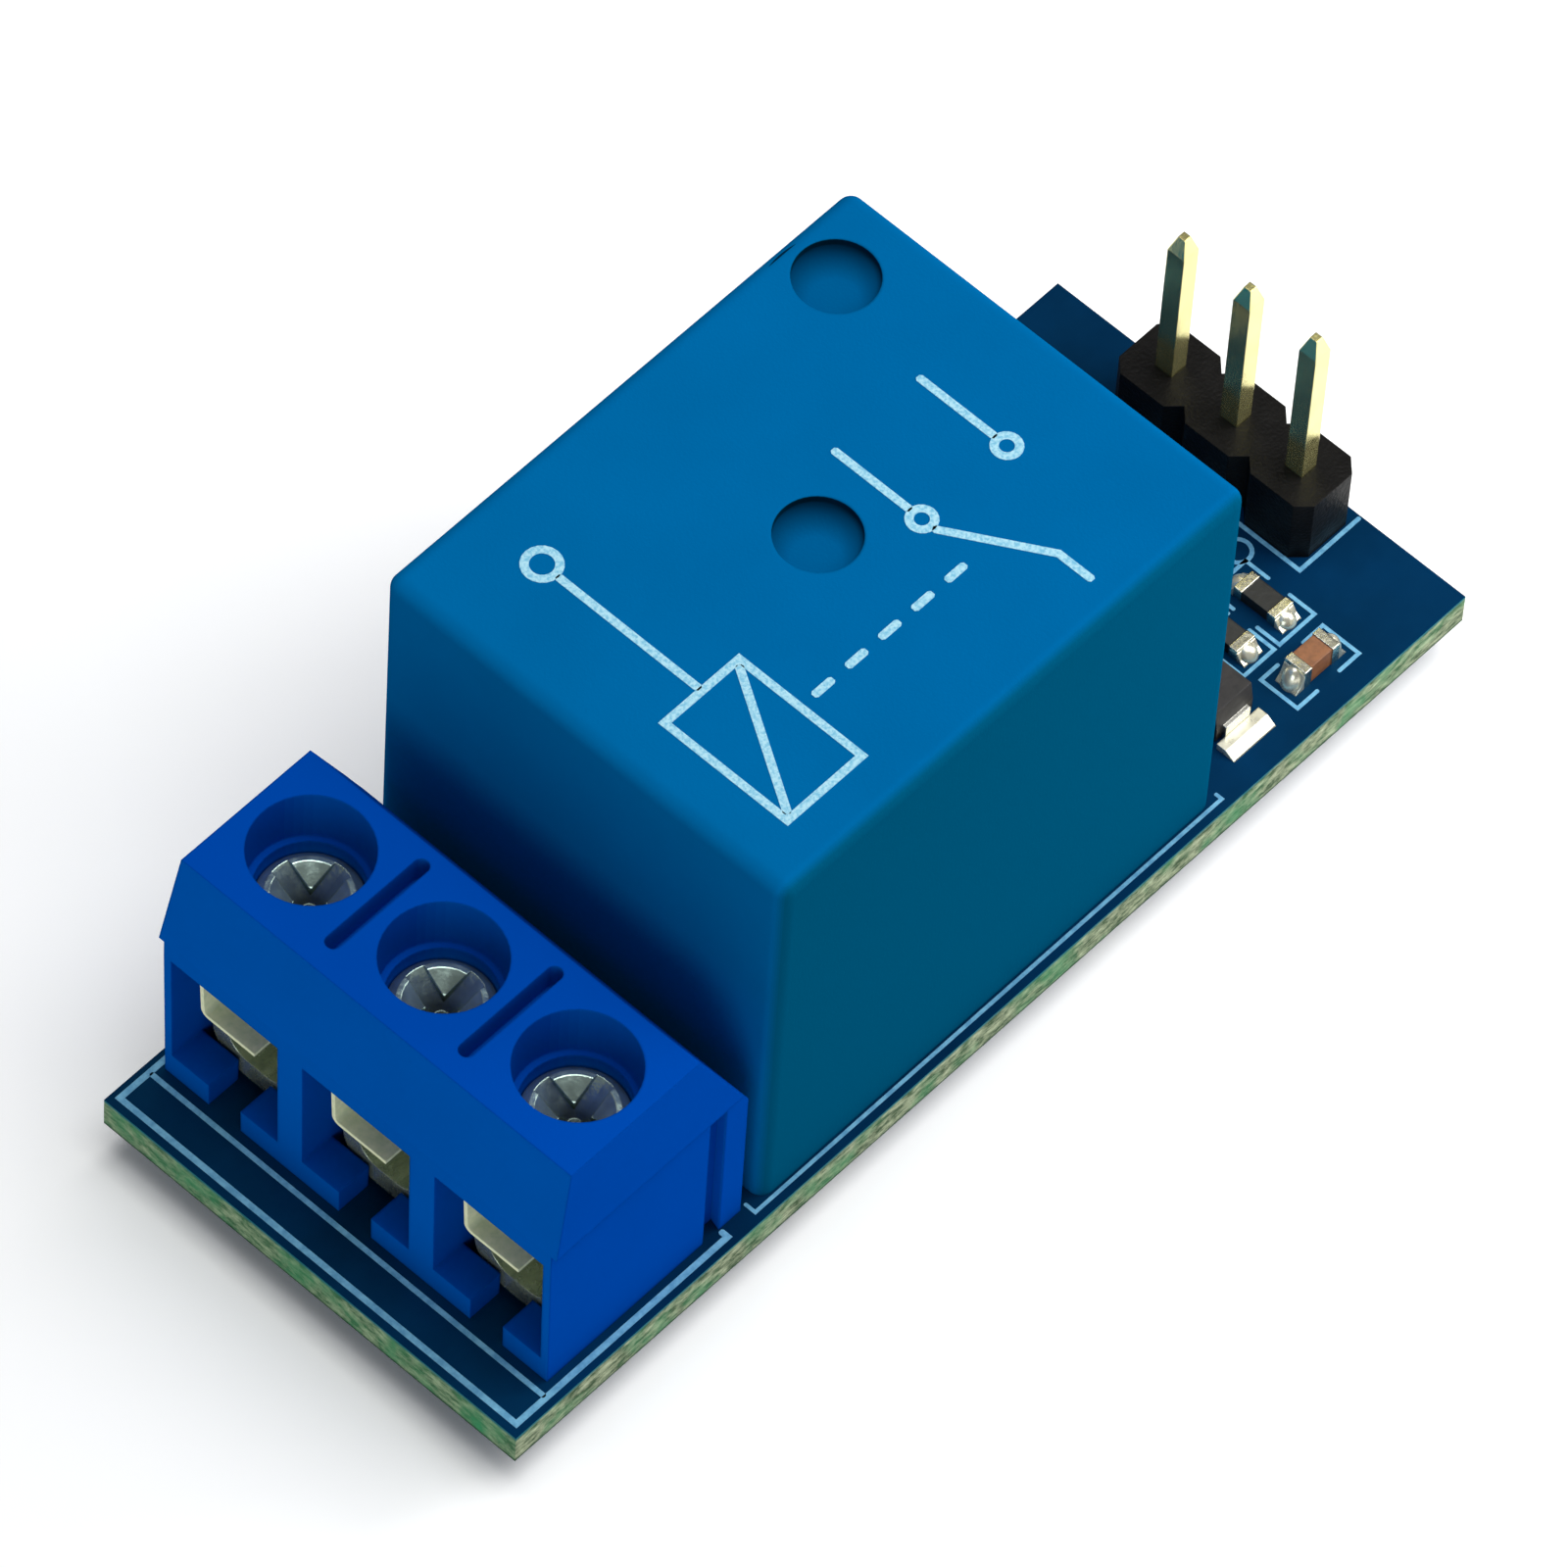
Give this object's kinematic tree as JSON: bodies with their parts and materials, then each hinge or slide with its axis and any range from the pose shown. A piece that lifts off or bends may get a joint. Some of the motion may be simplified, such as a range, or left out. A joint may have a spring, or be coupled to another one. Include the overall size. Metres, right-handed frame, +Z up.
{
  "type": "relay module board",
  "caption": "Small circuit board carrying a sealed relay, a screw terminal block for the switched wires and a pin header for power and signal.",
  "frame": {"origin": "middle of the board's plan, level with the ends of the trimmed leads below the board", "axes": "+X along the board from the screw terminal to the pin header, +Y to the left, +Z up out of the component side"},
  "size_m": [0.04, 0.016, 0.018],
  "materials": {
    "board_laminate": "satin",
    "terminal_plastic": "satin",
    "relay_case_plastic": "satin",
    "relay_base_plastic": "matte",
    "bobbin_plastic": "matte",
    "copper_wire": "satin",
    "magnet_iron": "satin",
    "tinned_metal": "satin",
    "header_plastic": "satin",
    "gold_plate": "gloss",
    "resistor_coat": "gloss",
    "capacitor_ceramic": "satin",
    "moulding_plastic": "satin",
    "solder": "gloss",
    "zinc_plate": "satin",
    "contact_bronze": "satin"
  },
  "bodies": {
    "board": {"circuit_board": "board_laminate", "terminal_housing": "terminal_plastic", "terminal_contact_1": "tinned_metal", "terminal_contact_2": "tinned_metal", "terminal_contact_3": "tinned_metal", "relay_case": "relay_case_plastic", "relay_base": "relay_base_plastic", "relay_bobbin": "bobbin_plastic", "relay_coil": "copper_wire", "relay_core": "magnet_iron", "relay_yoke": "magnet_iron", "relay_open_contact": "contact_bronze", "relay_closed_contact": "contact_bronze", "relay_common_lead": "tinned_metal", "relay_coil_lead_1": "tinned_metal", "relay_coil_lead_2": "tinned_metal", "header_body": "header_plastic", "header_pin_1": "gold_plate", "header_pin_2": "gold_plate", "header_pin_3": "gold_plate", "resistor_1": "resistor_coat", "resistor_2": "resistor_coat", "capacitor": "capacitor_ceramic", "diode": "moulding_plastic", "transistor": "moulding_plastic", "lead_solder": "solder", "chip_solder": "solder"},
    "screw_1": {"terminal_screw_1": "zinc_plate"},
    "cage_1": {"terminal_cage_1": "zinc_plate"},
    "screw_2": {"terminal_screw_2": "zinc_plate"},
    "cage_2": {"terminal_cage_2": "zinc_plate"},
    "screw_3": {"terminal_screw_3": "zinc_plate"},
    "cage_3": {"terminal_cage_3": "zinc_plate"},
    "armature": {"relay_armature": "magnet_iron", "relay_moving_contact": "contact_bronze"}
  },
  "joints": [
    {"name": "screw_1_turn", "type": "hinge", "parent": "board", "child": "screw_1", "pos_m": [-0.01475, -0.005, 0.0093], "axis": [0, 0, -1], "range_deg": [0, 1215]},
    {"name": "cage_1_lift", "type": "slide", "parent": "board", "child": "cage_1", "axis": [0, 0, 1], "range_m": [0, 0.00135]},
    {"name": "screw_2_turn", "type": "hinge", "parent": "board", "child": "screw_2", "pos_m": [-0.01475, 0.00008, 0.0093], "axis": [0, 0, -1], "range_deg": [0, 1215]},
    {"name": "cage_2_lift", "type": "slide", "parent": "board", "child": "cage_2", "axis": [0, 0, 1], "range_m": [0, 0.00135]},
    {"name": "screw_3_turn", "type": "hinge", "parent": "board", "child": "screw_3", "pos_m": [-0.01475, 0.00516, 0.0093], "axis": [0, 0, -1], "range_deg": [0, 1215]},
    {"name": "cage_3_lift", "type": "slide", "parent": "board", "child": "cage_3", "axis": [0, 0, 1], "range_m": [0, 0.00135]},
    {"name": "armature_pull", "type": "hinge", "parent": "board", "child": "armature", "pos_m": [0.0078, 0, 0.0136], "axis": [0, -1, 0], "range_deg": [0, 3], "stiffness_Nm_per_rad": 0.01, "springref_deg": -8.59}
  ],
  "couplings": [
    {"joint": "screw_1_turn", "follows": "cage_1_lift", "rad_per_m": 15708},
    {"joint": "screw_2_turn", "follows": "cage_2_lift", "rad_per_m": 15708},
    {"joint": "screw_3_turn", "follows": "cage_3_lift", "rad_per_m": 15708}
  ]
}
